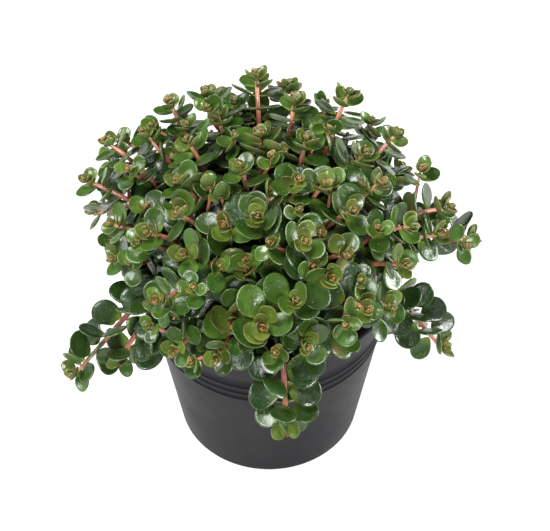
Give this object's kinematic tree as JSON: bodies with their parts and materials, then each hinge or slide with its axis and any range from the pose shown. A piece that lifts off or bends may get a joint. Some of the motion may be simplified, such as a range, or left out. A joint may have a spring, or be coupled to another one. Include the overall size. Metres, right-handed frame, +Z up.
{
  "type": "potted sedum plant",
  "caption": "Trailing sedum with round fleshy leaves on branching reddish stems, growing in soil in a round tapered plastic nursery pot with ribs below its rim.",
  "frame": {"origin": "centre of the pot's underside, on the surface it stands on", "axes": "+Z up out of the pot, -Y towards the viewer, +X to the viewer's right"},
  "size_m": [0.199, 0.1839, 0.1767],
  "materials": {
    "pot_plastic": "satin charcoal grey polypropylene, smooth, with turned ribs",
    "peat_soil": "dark brown crumbly peat with bark fibres, matt",
    "leaf": "waxy dark green fleshy leaves with a thin pale margin, on smooth pink to brown-red stems"
  },
  "bodies": {
    "root": {"pot": "pot_plastic", "soil": "peat_soil", "shoot_01": "leaf", "shoot_02": "leaf", "shoot_03": "leaf", "shoot_04": "leaf", "shoot_05": "leaf", "shoot_06": "leaf", "shoot_07": "leaf", "shoot_08": "leaf", "shoot_09": "leaf", "shoot_10": "leaf", "shoot_11": "leaf", "shoot_12": "leaf", "shoot_13": "leaf", "shoot_14": "leaf", "shoot_15": "leaf", "shoot_16": "leaf", "shoot_17": "leaf", "shoot_18": "leaf", "shoot_19": "leaf", "shoot_20": "leaf", "shoot_21": "leaf", "shoot_22": "leaf", "shoot_23": "leaf", "shoot_24": "leaf", "shoot_25": "leaf", "shoot_26": "leaf", "shoot_27": "leaf", "shoot_28": "leaf", "shoot_29": "leaf", "shoot_30": "leaf", "shoot_31": "leaf", "shoot_32": "leaf", "shoot_33": "leaf", "shoot_34": "leaf", "shoot_35": "leaf", "shoot_36": "leaf", "shoot_37": "leaf", "shoot_38": "leaf", "shoot_39": "leaf", "shoot_40": "leaf", "shoot_41": "leaf", "shoot_42": "leaf", "shoot_43": "leaf", "shoot_44": "leaf", "shoot_45": "leaf", "shoot_46": "leaf", "shoot_47": "leaf", "shoot_48": "leaf", "shoot_49": "leaf", "shoot_50": "leaf", "shoot_51": "leaf", "shoot_52": "leaf", "shoot_53": "leaf", "shoot_54": "leaf", "shoot_55": "leaf", "shoot_56": "leaf", "shoot_57": "leaf"}
  },
  "joints": []
}
